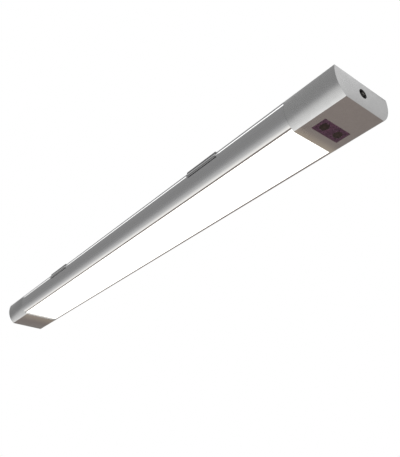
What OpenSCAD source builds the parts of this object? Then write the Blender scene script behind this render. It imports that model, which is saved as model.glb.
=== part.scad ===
// LED light bar with a hand-wave switch. It hangs below a shelf from two spring clips.
// The origin is midway between the clips' screw holes, on the surface they are screwed to.
// +X runs along the bar to the end with the switch and the power inlet. +Z points up, into the shelf.

/* [Bar] */
// Overall length, over both end housings
bar_l = 450; // [320:1:900]
// Width at the widest line of the rounded sides
bar_w = 44.8; // [42:0.1:60]
// Width of the flat underside of the end housings
underside_w = 31; // [28:0.1:36]
// Height of the end housings
bar_h = 18.1; // [16:0.1:26]
// Depth of the widest line below the back
side_drop = 4.5; // [3.5:0.1:7]
// How far the middle of the bar lies from the middle of the two clips
bar_offset = -5; // [-20:0.5:20]

/* [Extrusion] */
// Thickness of the curved side walls
wall = 1.2; // [0.8:0.05:1.8]
// Thickness of the flat back, and of the walls of its channel
web_t = 1.3; // [1:0.05:1.8]
// How far the lips stay back from the underside of the housings
lip_step = 1.9; // [1:0.1:3]
// Width of each lip's flat edge
lip_w = 1.45; // [1:0.05:2]
// Height of the ledge inside each lip
ledge_t = 1; // [0.6:0.05:1.6]
// Width of the channel that clears the mounting screws' heads
channel_w = 10; // [8:0.5:14]
// Depth of that channel
channel_d = 2.6; // [2:0.1:3.6]
// Thickness of the flange that the clips hook on
flange_t = 0.8; // [0.6:0.05:1.2]
// Depth of the sloping groove under the flange
groove_d = 1.4; // [1:0.05:1.8]
// Height of the flat at the bottom of that groove
groove_flat = 0.4; // [0.3:0.05:0.8]
// Thickness of the rails that hold the LED board
rail_t = 1.1; // [0.8:0.05:1.6]
// Overlap of each rail on the board's edge
rail_bite = 1; // [0.5:0.1:1.5]

/* [Light] */
// Thickness of the diffuser's side flanges
diffuser_flange_t = 1; // [0.8:0.1:1.6]
// Width of the LED board
led_board_w = 24; // [18:0.5:25]
// Thickness of the LED board
led_board_t = 1.6; // [1:0.1:2]
// Free length between the LED board and each housing's tongue
led_board_end = 1.5; // [0.5:0.1:5]
// Number of LEDs, in strings of three
led_count = 42; // [12:3:60]
// Length of an LED, along the bar
led_l = 3.5; // [2:0.1:4]
// Width of an LED
led_w = 2.8; // [2:0.1:4]
// Height of an LED
led_h = 0.8; // [0.5:0.05:1.2]
// Distance of the strings' resistors from the row of LEDs
resistor_row = 5; // [4:0.5:8]

/* [Housings] */
// Length of each end housing
housing_l = 36.5; // [36:0.1:50]
// Thickness of the housings' walls
shell_t = 1.8; // [1.4:0.1:2.2]
// Width of the lid in each housing's back
lid_w = 38; // [35:0.5:39]
// Thickness of the lid
lid_t = 1.6; // [1.2:0.1:2]
// Width of the housing's rim at the ends of the lid
lid_rim = 1.2; // [0.8:0.1:1.4]
// Width of the ledge under the lid's long edges
lid_ledge = 0.8; // [0.5:0.1:1.5]
// Length of the tongue that enters the extrusion
tongue_l = 12; // [9:0.5:20]
// Thickness of the bridge across the tongue
bridge_t = 1.5; // [1:0.1:2]
// Width of the opening for the wires
passage_w = 20; // [10:0.5:22]
// Height of the opening for the wires
passage_h = 7; // [4:0.5:7.5]
// Diameter of the bosses under the lid's screws
boss_d = 5; // [4:0.1:5.6]
// Distance of these bosses from the middle plane
boss_y = 14.2; // [13.8:0.1:15]

/* [Switch] */
// Distance of the window's middle from the end face
window_x = 23.1; // [22.2:0.1:23.4]
// Length of the window, along the bar
window_l = 10; // [8:0.1:10.4]
// Width of the window, across the bar
window_w = 20.8; // [18:0.1:22]
// Width of the flange that holds the window from inside
window_flange = 1; // [0.6:0.1:1.2]
// Thickness of that flange
window_flange_t = 0.8; // [0.6:0.1:1.2]
// Distance between the infrared emitter and receiver
eye_pitch = 11; // [9:0.1:12]
// Diameter of the emitter and receiver
eye_d = 5; // [3:0.1:5.2]
// Height of the black holder around them
holder_h = 7.6; // [5:0.1:8]
// Size of the holder's square feet
foot_w = 1.6; // [1:0.1:2]

/* [Power inlet] */
// Diameter of the hole in the end face
inlet_d = 6; // [5.8:0.05:6.2]
// Depth of the hole's middle below the back
inlet_drop = 7.7; // [7.6:0.05:9.5]
// Diameter of the jack's bore
jack_bore_d = 6.4; // [6.3:0.05:6.6]
// Diameter of the jack's middle pin
jack_pin_d = 2.1; // [1.6:0.05:2.5]
// Width of the jack
jack_w = 9; // [8.5:0.1:10]
// Depth of the jack's body below the middle of its bore
jack_under = 4.6; // [4:0.1:5]
// Length of the jack
jack_l = 14; // [12:0.5:14.5]
// Thickness of the jack's rear wall
jack_rear_t = 2.5; // [1.5:0.1:3]
// Thickness of the jack's contacts
contact_t = 0.35; // [0.25:0.05:0.5]
// Width of the jack's spring contact
contact_w = 2.2; // [1.6:0.1:2.6]

/* [Switch board] */
// Distance of the board's near edge from the end face
board_x = 7.4; // [7.2:0.1:7.8]
// Length of the board
board_l = 21.7; // [21:0.1:21.9]
// Width of the board
board_w = 30; // [28:0.5:32]
// Thickness of the board
board_t = 1.2; // [0.8:0.1:1.6]
// Height left between the board and the lid for its screws' heads
board_room = 0.85; // [0.8:0.05:1.2]
// Distance of the board's screws from the end face
board_screw_x = 11.5; // [11:0.1:12]
// Distance of these screws from the middle plane
board_screw_y = 12.5; // [12:0.1:12.8]
// Diameter of the posts that carry the board
board_post_d = 4.4; // [3.6:0.1:4.6]

/* [Clips] */
// Distance between the two clips' screw holes
clip_pitch = 217; // [120:1:280]
// Length of each clip, along the bar
clip_l = 30; // [16:1:50]
// Thickness of the clips' spring steel
clip_t = 0.5; // [0.4:0.05:0.6]
// Diameter of the clips' screw hole
clip_hole_d = 4.2; // [3:0.1:6]
// How far the clips' hooks reach under the flange
hook_reach = 0.5; // [0.3:0.05:0.6]
// Drop from the flange to the hooks' inmost bend
hook_drop = 0.7; // [0.6:0.05:0.8]
// Depth of the clips' tips below the bar's back
tip_drop = 3.9; // [3.2:0.1:5]
// How far the tips flare outwards
tip_flare = 0.2; // [0:0.05:0.6]

/* [Screws and wires] */
// Diameter of the screws that hold the housings to the extrusion
tongue_screw_d = 2.4; // [2:0.1:2.6]
// Length of these screws
tongue_screw_l = 8; // [5:0.5:10]
// Diameter of the lid screws
lid_screw_d = 2; // [1.6:0.1:2.2]
// Length of the lid screws
lid_screw_l = 7; // [5:0.5:12]
// Diameter of the board screws
board_screw_d = 1.8; // [1.6:0.1:2]
// Length of the board screws under their heads
board_screw_l = 5; // [4:0.5:8]
// Diameter of the wires
wire_d = 1.2; // [0.8:0.1:1.6]
// Distance between the two wires
wire_pitch = 3.2; // [2.4:0.1:4]

/* [Fits] */
// Clearance between the clips and the bar
clip_gap = 0.1; // [0.05:0.05:0.2]
// Clearance beside the LED board, diffuser, lids and tongues
slip_gap = 0.15; // [0.1:0.05:0.2]
// Clearance around screws, contacts and the window
snug_gap = 0.05; // [0.03:0.01:0.1]

/* [Hidden] */
$fn = 48;
eps = 0.01;

// The rounded side is one arc, upright at the widest line and ending at the underside's edge
side_in = (bar_w - underside_w) / 2;
side_fall = bar_h - side_drop;
side_r = (side_in * side_in + side_fall * side_fall) / (2 * side_in);
side_y = bar_w / 2 - side_r;

// Extrusion: places across the bar, and depths below its back
back_drop = clip_t + clip_gap;
profile_l = bar_l - 2 * housing_l;
lip_depth = bar_h - lip_step;
ledge_depth = lip_depth - ledge_t;
lip_in = half_w(0, lip_depth) - lip_w;
flange_out = half_w(0, flange_t);
groove_in = flange_out - groove_d;
groove_slope_end = flange_t + groove_d;
groove_end = groove_slope_end + groove_flat;
bead_t = 1;
bead_in = groove_in - bead_t;
bead_end = groove_end + bead_t;
diffuser_top = ledge_depth - diffuser_flange_t;

// LED board: it backs onto the channel and slides in the rails
led_back = channel_d + web_t;
led_face = led_back + led_board_t;
rail_slot = led_board_w / 2 + slip_gap;
rail_out = rail_slot + rail_t;
rail_end = led_face + slip_gap + rail_t;
led_board_x = housing_l + tongue_l + led_board_end;
led_board_l = bar_l - 2 * led_board_x;
led_step = led_board_l / led_count;

// Tongue: it lies between the rails, the groove's bead and the diffuser
tongue_in = rail_out + slip_gap;
tongue_out = bead_in - slip_gap;
tongue_bottom = diffuser_top - slip_gap;
tongue_screw_x = housing_l + tongue_l / 2;
tongue_screw_y = (tongue_in + tongue_out) / 2;

// Housing: depths below the back, and distances from its end face
floor_depth = bar_h - shell_t;
passage_gap = 0.6;
passage_top = led_back + passage_gap;
boss_sink = 0.4;
boss_x = shell_t + boss_d / 2 - boss_sink;
window_top = floor_depth - window_flange_t;
holder_top = window_top - holder_h;
board_top = lid_t + board_room;
board_under = board_top + board_t;
jack_x = shell_t + snug_gap;
jack_end = jack_x + jack_l;
wire_x = board_x + board_l - 1.25 * wire_d;
wire_depth = holder_top - wire_d;
wire_end_x = led_board_x + wire_d;

// Screws: a flat head's width and height, a pan head's width and the point, in shank diameters
flat_head = 1.9;
flat_head_t = 0.45;
pan_head = 1.8;
point_d = 0.3;
pan_head_t = 0.6;

// Standard parts on the boards: [length along the bar, width, height]
resistor = [2, 1.25, 0.5];
chip = [4.9, 3.9, 1.4];
chip_stand = 0.1;
chip_leg = [0.4, 0.8, 0.4];
leg_pitch = 1.27;
transistor = [4.4, 4.4, 2];
transistor_tab = [4.4, 1.8, 0.5];
capacitor = [3.5, 4.4, 2.4];
resistor_pitch = 2.6;
power_x = jack_end + 0.8;
power_y = 9.4;

// The emitter's and receiver's rim and leads
eye_rim_t = 1;
eye_rim_d = eye_d + 0.8;
lead_t = 0.5;
lead_pitch = 2.54;

// The jack's contacts: the pin starts behind the mouth, and the spring bows into the bore
pin_setback = 0.6;
spring_bow = 0.5;
spring_room = 0.3;
spring_start = 1.5;
tail_l = 0.6;

// Half width of the bar at a depth below its back, with its curved sides moved in by inset
function half_w(inset, depth) = side_y + sqrt(pow(side_r - inset, 2) - pow(depth - side_drop, 2));

// Outline of a bent strip of thickness t along a centre line, with mitred corners
function unit(v) = v / norm(v);
function left(v) = [-v[1], v[0]];
function mitre(a, b) = (a + b) / (1 + a * b);
function side_normal(p, i) = left(unit(p[i + 1] - p[i]));
function corner_normal(p, i) = mitre(side_normal(p, max(i - 1, 0)), side_normal(p, min(i, len(p) - 2)));
function strip_outline(p, t) = concat(
    [for (i = [0 : len(p) - 1]) p[i] + corner_normal(p, i) * t / 2],
    [for (i = [len(p) - 1 : -1 : 0]) p[i] - corner_normal(p, i) * t / 2]
);

// Frames: the bar's back is at z = 0, and at each end x runs inwards from the end face
module in_bar() translate([bar_offset, 0, -back_drop]) children();
module at_near_end() in_bar() translate([bar_l / 2, 0, 0]) mirror([1, 0, 0]) children();
module at_far_end() in_bar() translate([-bar_l / 2, 0, 0]) children();

// The children and their mirror image, for a section drawn as [across, up]
module both_sides() {
    children();
    mirror([1, 0]) children();
}

// Gives a section a length along the bar
module along(x0, x1) translate([x0, 0, 0]) rotate([90, 0, 90]) linear_extrude(x1 - x0) children();

// Rectangle of a section, from its limits across the bar and its depths below the back
module slab(y0, y1, top, bottom) translate([y0, -bottom]) square([y1 - y0, bottom - top]);

// Block with the same limits, and its limits along the bar
module block(x0, x1, y0, y1, top, bottom)
    translate([x0, y0, -bottom]) cube([x1 - x0, y1 - y0, bottom - top]);

// Block from its middle, its size and its depths
module centred(x, y, l, w, top, bottom) block(x - l / 2, x + l / 2, y - w / 2, y + w / 2, top, bottom);

// Upright cylinder between two depths
module post(x, y, d, top, bottom) translate([x, y, -bottom]) cylinder(d = d, h = bottom - top);

// Cylinder along the bar
module barrel(x0, x1, depth, d) translate([x0, 0, -depth]) rotate([0, 90, 0]) cylinder(d = d, h = x1 - x0);

// Everything inside the right-hand arc
module side_limit(inset) {
    translate([side_y, -side_drop]) circle(side_r - inset, $fn = 96);
    slab(-bar_w, side_y, -bar_h, 2 * bar_h);
}

// The bar's outline between two depths, with its curved sides moved in
module outline(inset, top, bottom) intersection() {
    side_limit(inset);
    mirror([1, 0]) side_limit(inset);
    slab(-bar_w, bar_w, top, bottom);
}

// Screws: the head's top is at z = 0 and the shank points down
module cross_recess(w, t) for (a = [0, 90])
    rotate(a) translate([-w / 2, -w / 8, -t]) cube([w, w / 4, t + eps]);

module screw_shank(d, l, top) {
    translate([0, 0, -l + d / 2]) cylinder(d = d, h = l - d / 2 + top);
    translate([0, 0, -l]) cylinder(d1 = point_d * d, d2 = d, h = d / 2);
}

module flat_screw(d, l) difference() {
    union() {
        translate([0, 0, -flat_head_t * d]) cylinder(d1 = d, d2 = flat_head * d, h = flat_head_t * d);
        screw_shank(d, l, 0);
    }
    cross_recess(d, 0.3 * d);
}

module flat_screw_hole(d, t) {
    hole_d = d + 2 * snug_gap;
    head_d = flat_head * d + 2 * snug_gap;
    translate([0, 0, -t - eps]) cylinder(d = hole_d, h = t + 2 * eps);
    translate([0, 0, -flat_head_t * d]) cylinder(d1 = hole_d, d2 = head_d, h = flat_head_t * d);
    cylinder(d = head_d, h = 1);
}

module pan_screw(d, l) difference() {
    union() {
        cylinder(d = pan_head * d, h = pan_head_t);
        screw_shank(d, l, eps);
    }
    translate([0, 0, pan_head_t]) cross_recess(d, pan_head_t / 2);
}

// Places of the screws in a housing
module at_pair(x, y) for (s = [-1, 1]) translate([x, s * y, 0]) children();
module at_tongue_screws() at_pair(tongue_screw_x, tongue_screw_y) children();
module at_board_screws() at_pair(board_screw_x, board_screw_y) children();
module at_lid_screws() {
    at_pair(boss_x, boss_y) children();
    at_pair(housing_l - boss_x, boss_y) children();
}

// Extrusion
module hook_groove() polygon([
    [bar_w, -flange_t],
    [flange_out, -flange_t],
    [groove_in, -groove_slope_end],
    [groove_in, -groove_end],
    [bar_w, -groove_end]
]);

module board_rail() difference() {
    slab(led_board_w / 2 - rail_bite, rail_out, web_t - eps, rail_end);
    slab(0, rail_slot, led_back, led_face + slip_gap);
}

module extrusion_hollow() difference() {
    outline(wall, web_t, ledge_depth);
    slab(-channel_w / 2 - web_t, channel_w / 2 + web_t, 0, led_back);
    both_sides() slab(bead_in, bar_w, 0, bead_end);
    both_sides() board_rail();
}

module extrusion_section() difference() {
    outline(0, 0, lip_depth);
    extrusion_hollow();
    slab(-lip_in, lip_in, ledge_depth - eps, lip_depth + eps);
    slab(-channel_w / 2, channel_w / 2, -eps, channel_d);
    both_sides() hook_groove();
}

module extrusion() color("silver") difference() {
    in_bar() along(-profile_l / 2, profile_l / 2) extrusion_section();
    at_near_end() at_tongue_screws() flat_screw_hole(tongue_screw_d, web_t);
    at_far_end() at_tongue_screws() flat_screw_hole(tongue_screw_d, web_t);
}

// Light
module diffuser_section() {
    flange = half_w(wall, ledge_depth) - slip_gap;
    slab(-flange, flange, diffuser_top, ledge_depth);
    slab(slip_gap - lip_in, lip_in - slip_gap, ledge_depth - eps, lip_depth);
}

module diffuser() color("white") in_bar() along(-profile_l / 2, profile_l / 2) diffuser_section();

module led_board() color("ivory") in_bar() centred(0, 0, led_board_l, led_board_w, led_back, led_face);

module led() difference() {
    centred(0, 0, led_l, led_w, led_face, led_face + led_h);
    centred(0, 0, 0.75 * led_l, 0.75 * led_w, led_face + 0.7 * led_h, led_face + 2 * led_h);
}

// Block of a given size with its top at a depth
module part_block(x, y, top, size) centred(x, y, size[0], size[1], top, top + size[2]);

module leds() color("khaki") in_bar()
    for (i = [0 : led_count - 1]) translate([(i + 0.5) * led_step - led_board_l / 2, 0, 0]) led();

module led_resistors() color("dimgray") in_bar()
    for (i = [0 : led_count / 3 - 1])
        part_block((3 * i + 1.5) * led_step - led_board_l / 2, resistor_row, led_face, resistor);

// Housings: a shell that is open at the back, with a forked tongue that enters the extrusion
module tongue_section() difference() {
    outline(wall + slip_gap, web_t + slip_gap, tongue_bottom);
    slab(-tongue_in, tongue_in, 0, tongue_bottom - bridge_t);
    both_sides() slab(tongue_out, bar_w, 0, bead_end + slip_gap);
}

module cavity_section() intersection() {
    outline(shell_t, lid_t / 2, floor_depth);
    slab(lid_ledge - lid_w / 2, lid_w / 2 - lid_ledge, 0, bar_h);
}

module housing_shell() difference() {
    union() {
        difference() {
            along(0, housing_l) outline(0, 0, bar_h);
            along(shell_t, housing_l - shell_t) cavity_section();
            block(lid_rim, housing_l - lid_rim, -lid_w / 2, lid_w / 2, -eps, lid_t);
        }
        at_lid_screws() post(0, 0, boss_d, lid_t, floor_depth + eps);
        along(housing_l - eps, housing_l + tongue_l) tongue_section();
    }
    at_lid_screws() post(0, 0, lid_screw_d + 2 * snug_gap, 0, lid_screw_l + 1);
    at_tongue_screws() post(0, 0, tongue_screw_d + 2 * snug_gap, 0, tongue_screw_l + 1);
    block(housing_l - shell_t - eps, housing_l + eps, -passage_w / 2, passage_w / 2,
        passage_top, passage_top + passage_h);
}

module housing_lid() difference() {
    block(lid_rim + slip_gap, housing_l - lid_rim - slip_gap,
        slip_gap - lid_w / 2, lid_w / 2 - slip_gap, 0, lid_t);
    at_lid_screws() flat_screw_hole(lid_screw_d, lid_t);
}

module sensor_housing() color("silver") at_near_end() difference() {
    union() {
        housing_shell();
        at_board_screws() post(0, 0, board_post_d, board_under, floor_depth + eps);
    }
    at_board_screws() post(0, 0, board_screw_d + 2 * snug_gap, 0, board_under + board_screw_l + 1);
    barrel(-eps, shell_t + eps, inlet_drop, inlet_d);
    window_plate(0, floor_depth - eps, bar_h + eps);
}

module sensor_lid() color("silver") at_near_end() housing_lid();
module sensor_lid_screws() color("gray") at_near_end() at_lid_screws() flat_screw(lid_screw_d, lid_screw_l);
module sensor_housing_screws() color("gray") at_near_end()
    at_tongue_screws() flat_screw(tongue_screw_d, tongue_screw_l);

module far_housing() color("silver") at_far_end() housing_shell();
module far_lid() color("silver") at_far_end() housing_lid();
module far_lid_screws() color("gray") at_far_end() at_lid_screws() flat_screw(lid_screw_d, lid_screw_l);
module far_housing_screws() color("gray") at_far_end()
    at_tongue_screws() flat_screw(tongue_screw_d, tongue_screw_l);

// Switch: a window that passes infrared, and behind it an emitter and a receiver in a black holder
module window_plate(grow, top, bottom)
    centred(window_x, 0, window_l + 2 * grow, window_w + 2 * grow, top, bottom);

module sensor_window() color([0.2, 0.1, 0.22]) at_near_end() {
    window_plate(-snug_gap, floor_depth - eps, bar_h);
    window_plate(window_flange, window_top, floor_depth);
}

module at_eye(side) at_near_end() translate([window_x, side * eye_pitch / 2, 0]) children();

module eye_holder() color([0.1, 0.1, 0.1]) at_near_end() difference() {
    union() {
        window_plate(window_flange, holder_top, window_top);
        at_pair(window_x + (window_l - foot_w) / 2, (window_w - foot_w) / 2)
            centred(0, 0, foot_w, foot_w, board_under, holder_top + eps);
    }
    at_pair(window_x, eye_pitch / 2) post(0, 0, eye_d + 2 * snug_gap, holder_top - eps, window_top + eps);
}

module infrared_led() {
    tip = window_top - slip_gap;
    post(0, 0, eye_rim_d, holder_top - eye_rim_t, holder_top);
    post(0, 0, eye_d, holder_top - eps, tip - eye_d / 2);
    translate([0, 0, eye_d / 2 - tip]) sphere(d = eye_d);
    for (s = [-1, 1])
        centred(s * lead_pitch / 2, 0, lead_t, lead_t, board_under, holder_top - eye_rim_t + eps);
}

module ir_emitter() color([0.25, 0.3, 0.4]) at_eye(1) infrared_led();
module ir_receiver() color([0.08, 0.08, 0.1]) at_eye(-1) infrared_led();

// Switch board and its parts
module sensor_board() color("darkgreen") at_near_end() difference() {
    block(board_x, board_x + board_l, -board_w / 2, board_w / 2, board_top, board_under);
    at_board_screws() post(0, 0, board_screw_d + 4 * snug_gap, 0, board_under + eps);
}

module sensor_board_screws() color("gray") at_near_end()
    at_board_screws() translate([0, 0, -board_top]) pan_screw(board_screw_d, board_screw_l + board_t);

module control_chip() color([0.15, 0.15, 0.15]) at_near_end() {
    part_block(window_x, 0, board_under + chip_stand, chip);
    for (i = [-1.5 : 1.5], s = [-1, 1])
        part_block(window_x + leg_pitch * i, s * (chip[1] + chip_leg[1] - eps) / 2, board_under, chip_leg);
}

module dimmer_transistor() color([0.15, 0.15, 0.15]) at_near_end() {
    part_block(power_x, -power_y, board_under, transistor);
    tab_y = power_y + (transistor[1] + transistor_tab[1]) / 2 - eps;
    part_block(power_x, -tab_y, board_under, transistor_tab);
}

module buffer_capacitor() color("goldenrod") at_near_end()
    part_block(power_x, power_y, board_under, capacitor);

module board_resistors() color("dimgray") at_near_end()
    for (i = [-2 : 1])
        part_block(window_x + resistor_pitch * i, board_w / 2 - resistor[1], board_under, resistor);

// Power inlet
module dc_jack() color([0.12, 0.12, 0.12]) at_near_end() difference() {
    block(jack_x, jack_end, -jack_w / 2, jack_w / 2, board_under, inlet_drop + jack_under);
    barrel(jack_x - eps, jack_end - jack_rear_t, inlet_drop, jack_bore_d);
    barrel(jack_x, jack_end + eps, inlet_drop, jack_pin_d + 2 * snug_gap);
    block(jack_x + spring_start - contact_t, jack_end + eps,
        jack_pin_d, jack_bore_d / 2 + 2 * spring_room + contact_t / 2,
        inlet_drop - contact_w / 2 - slip_gap, inlet_drop + contact_w / 2 + slip_gap);
}

module jack_pin() color("gainsboro") at_near_end() {
    barrel(jack_x + pin_setback, jack_end + snug_gap + contact_t, inlet_drop, jack_pin_d);
    block(jack_end + snug_gap, jack_end + snug_gap + contact_t, -jack_pin_d / 2, jack_pin_d / 2,
        board_under, inlet_drop);
}

module jack_spring() color("gainsboro") at_near_end() {
    rest_y = jack_bore_d / 2 + spring_room;
    tail_x = jack_end + 1;
    path = [
        [jack_x + spring_start, rest_y],
        [jack_x + 4 * spring_start, rest_y - spring_bow],
        [jack_x + 6 * spring_start, rest_y],
        [tail_x, rest_y]
    ];
    translate([0, 0, -inlet_drop - contact_w / 2])
        linear_extrude(contact_w) polygon(strip_outline(path, contact_t));
    centred(tail_x - tail_l / 2, rest_y, tail_l, contact_t, board_under, inlet_drop);
}

// Wires from the switch board, through the housing's passage, to the LED board
module rod(a, b, d) {
    v = b - a;
    translate(a) rotate([0, acos(v[2] / norm(v)), atan2(v[1], v[0])]) cylinder(d = d, h = norm(v));
}

module wire(y) {
    path = [
        [wire_x, y, -board_under],
        [wire_x, y, -wire_depth],
        [wire_end_x, y, -wire_depth],
        [wire_end_x, y, -led_face]
    ];
    for (i = [0 : len(path) - 2]) rod(path[i], path[i + 1], wire_d);
    for (i = [1 : len(path) - 2]) translate(path[i]) sphere(d = wire_d);
}

module positive_wire() color("firebrick") at_near_end() wire(wire_pitch / 2);
module negative_wire() color([0.1, 0.1, 0.1]) at_near_end() wire(-wire_pitch / 2);

// Spring clips: a plate across the bar's back, with a hooked leg down each side
function clip_leg() =
    let (leg_y = flange_out + clip_gap + clip_t / 2)
    let (hook_y = leg_y - hook_reach)
    let (hook_depth = flange_t + hook_drop)
    let (tip_y = bar_w / 2 + slip_gap + clip_t / 2)
    [
        [leg_y, clip_gap + clip_t / 2],
        [leg_y, -flange_t - 2 * clip_gap],
        [hook_y, -hook_depth],
        [tip_y, hook_y - tip_y - hook_depth],
        [tip_y + tip_flare, -tip_drop]
    ];

function mirrored(p) = [for (i = [len(p) - 1 : -1 : 0]) [-p[i][0], p[i][1]]];

module clip(x) color("dimgray") translate([x, 0, -back_drop]) difference() {
    along(-clip_l / 2, clip_l / 2) polygon(strip_outline(concat(mirrored(clip_leg()), clip_leg()), clip_t));
    cylinder(d = clip_hole_d, h = 3 * back_drop, center = true);
}

module near_clip() clip(clip_pitch / 2);
module far_clip() clip(-clip_pitch / 2);

extrusion();
diffuser();
led_board();
leds();
led_resistors();
sensor_housing();
sensor_lid();
sensor_lid_screws();
sensor_housing_screws();
far_housing();
far_lid();
far_lid_screws();
far_housing_screws();
sensor_window();
eye_holder();
ir_emitter();
ir_receiver();
sensor_board();
sensor_board_screws();
control_chip();
dimmer_transistor();
buffer_capacitor();
board_resistors();
dc_jack();
jack_pin();
jack_spring();
positive_wire();
negative_wire();
near_clip();
far_clip();
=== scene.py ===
"""LED light bar with a hand-wave switch, hung below a shelf on two sliding spring clips.

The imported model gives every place. This script adds the finished shapes, their finishes,
a camera, soft studio light and a pale floor.
"""

import logging
import math
from collections.abc import Iterable, Sequence
from dataclasses import dataclass, replace
from enum import Enum

import bmesh
import bpy
from bmesh.types import BMEdge, BMFace, BMVert
from mathutils import Matrix, Vector

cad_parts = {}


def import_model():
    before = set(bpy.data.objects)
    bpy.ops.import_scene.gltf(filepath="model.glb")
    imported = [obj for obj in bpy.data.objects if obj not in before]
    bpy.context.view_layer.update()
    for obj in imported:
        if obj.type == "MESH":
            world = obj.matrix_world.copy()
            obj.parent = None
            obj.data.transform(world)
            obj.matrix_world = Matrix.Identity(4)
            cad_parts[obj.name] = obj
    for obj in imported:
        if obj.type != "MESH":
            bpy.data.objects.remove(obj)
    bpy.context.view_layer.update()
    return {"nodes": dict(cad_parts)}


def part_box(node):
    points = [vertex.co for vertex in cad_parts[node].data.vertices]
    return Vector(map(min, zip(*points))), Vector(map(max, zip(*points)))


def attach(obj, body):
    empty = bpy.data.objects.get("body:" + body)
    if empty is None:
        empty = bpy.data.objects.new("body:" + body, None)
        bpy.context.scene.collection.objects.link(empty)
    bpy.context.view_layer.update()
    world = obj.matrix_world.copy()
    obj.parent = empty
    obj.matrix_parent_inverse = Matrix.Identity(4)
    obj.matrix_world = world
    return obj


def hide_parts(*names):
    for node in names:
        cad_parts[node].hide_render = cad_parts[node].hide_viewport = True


LOG = logging.getLogger("light_bar")
MM = 0.001
FLAT_TOLERANCE = 1e-3  # millimetres
SAME_WAY = 0.999  # cosine above which two directions count as one
RECTANGLE = 4  # edges of an opening's loop that has corners
NOISE_MIDDLE = (0.3, 0.7)  # where most of a noise's values lie
HEAD_RADIUS = 0.95  # a countersunk head's radius, as a share of the screw's diameter
HEAD_DEPTH = 0.45  # a countersink's depth, as a share of the screw's diameter


class Body(Enum):
    """The moving bodies that a piece can ride on."""

    BAR = "bar"
    NEAR_CLIP = "near_clip"
    FAR_CLIP = "far_clip"


class Facing(Enum):
    """Directions of the flat faces that openings are cut in."""

    UP = (0.0, 0.0, 1.0)
    DOWN = (0.0, 0.0, -1.0)
    OUT = (-1.0, 0.0, 0.0)
    IN = (1.0, 0.0, 0.0)

    @property
    def vector(self) -> Vector:
        """The direction as a vector."""
        return Vector(self.value)


class Rounded(Enum):
    """What a rounding is put on."""

    EDGES = "EDGES"
    CORNERS = "VERTICES"


# ---------------------------------------------------------------- finishes


def fill_ramp(ramp: bpy.types.ColorRamp, stops: Iterable[tuple[float, Sequence[float]]]) -> None:
    """Puts colours on a ramp.

    Args:
        ramp: The ramp, with its first two stops.
        stops: Places from 0 to 1, and the colour at each.
    """
    for number, (at, colour) in enumerate(stops):
        element = ramp.elements[number] if number < len(ramp.elements) else ramp.elements.new(at)
        element.position = at
        element.color = (*colour, 1.0)


class Graph:
    """A material's node tree with short calls for the nodes that the finishes use."""

    def __init__(self, name: str) -> None:
        """Starts a material with one Principled shader.

        Args:
            name: The material's name.
        """
        self.material = bpy.data.materials.new(name)
        self.material.use_nodes = True
        self.nodes = self.material.node_tree.nodes
        self.shader = self.nodes["Principled BSDF"]
        self.output = self.nodes["Material Output"]

    def join(self, source: bpy.types.NodeSocket, target: bpy.types.NodeSocket) -> None:
        """Links two sockets."""
        self.material.node_tree.links.new(source, target)

    def place(self, scale: Sequence[float]) -> bpy.types.NodeSocket:
        """Gives the piece's own coordinates, scaled along each axis.

        Args:
            scale: Repeats per metre along X, Y and Z.

        Returns:
            The scaled vector.
        """
        where = self.nodes.new("ShaderNodeTexCoord")
        mapping = self.nodes.new("ShaderNodeMapping")
        mapping.inputs["Scale"].default_value = scale
        self.join(where.outputs["Object"], mapping.inputs["Vector"])
        return mapping.outputs["Vector"]

    def noise(self, scale: Sequence[float], detail: float = 3.0) -> bpy.types.NodeSocket:
        """Gives a noise from 0 to 1.

        Args:
            scale: Repeats per metre along X, Y and Z.
            detail: Octaves of finer noise.

        Returns:
            The noise's value.
        """
        made = self.nodes.new("ShaderNodeTexNoise")
        made.inputs["Scale"].default_value = 1.0
        made.inputs["Detail"].default_value = detail
        self.join(self.place(scale), made.inputs["Vector"])
        return made.outputs["Fac"]

    def remap(
        self, value: bpy.types.NodeSocket, before: tuple[float, float], after: tuple[float, float],
        soft: bool = False,
    ) -> bpy.types.NodeSocket:
        """Maps one range to another.

        Args:
            value: The value to map.
            before: The range that it comes in.
            after: The range that it is brought to.
            soft: True where the change starts and ends softly.

        Returns:
            The mapped value.
        """
        made = self.nodes.new("ShaderNodeMapRange")
        if soft:
            made.interpolation_type = "SMOOTHSTEP"
        for key, number in zip(("From Min", "From Max", "To Min", "To Max"), (*before, *after)):
            made.inputs[key].default_value = number
        self.join(value, made.inputs["Value"])
        return made.outputs["Result"]

    def spread(self, noise: bpy.types.NodeSocket, low: float, high: float) -> bpy.types.NodeSocket:
        """Maps the middle of a noise to a range."""
        return self.remap(noise, NOISE_MIDDLE, (low, high))

    def tint(
        self, value: bpy.types.NodeSocket, stops: Iterable[tuple[float, Sequence[float]]]
    ) -> bpy.types.NodeSocket:
        """Turns a value into a colour.

        Args:
            value: A value from 0 to 1.
            stops: Places on the ramp, and the colour at each.

        Returns:
            The colour.
        """
        ramp = self.nodes.new("ShaderNodeValToRGB")
        fill_ramp(ramp.color_ramp, stops)
        self.join(value, ramp.inputs["Fac"])
        return ramp.outputs["Color"]

    def bump(self, value: bpy.types.NodeSocket, height: float, strength: float = 1.0) -> None:
        """Raises the surface by a value.

        Args:
            value: Height from 0 to 1.
            height: Real height of the relief, in metres.
            strength: Share of the relief that shows.
        """
        made = self.nodes.new("ShaderNodeBump")
        made.inputs["Distance"].default_value = height
        made.inputs["Strength"].default_value = strength
        self.join(value, made.inputs["Height"])
        self.join(made.outputs["Normal"], self.shader.inputs["Normal"])

    def set(self, **values: float | Sequence[float]) -> None:
        """Sets sockets of the shader; an underscore stands for a space."""
        for key, value in values.items():
            self.shader.inputs[key.replace("_", " ")].default_value = value


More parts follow.
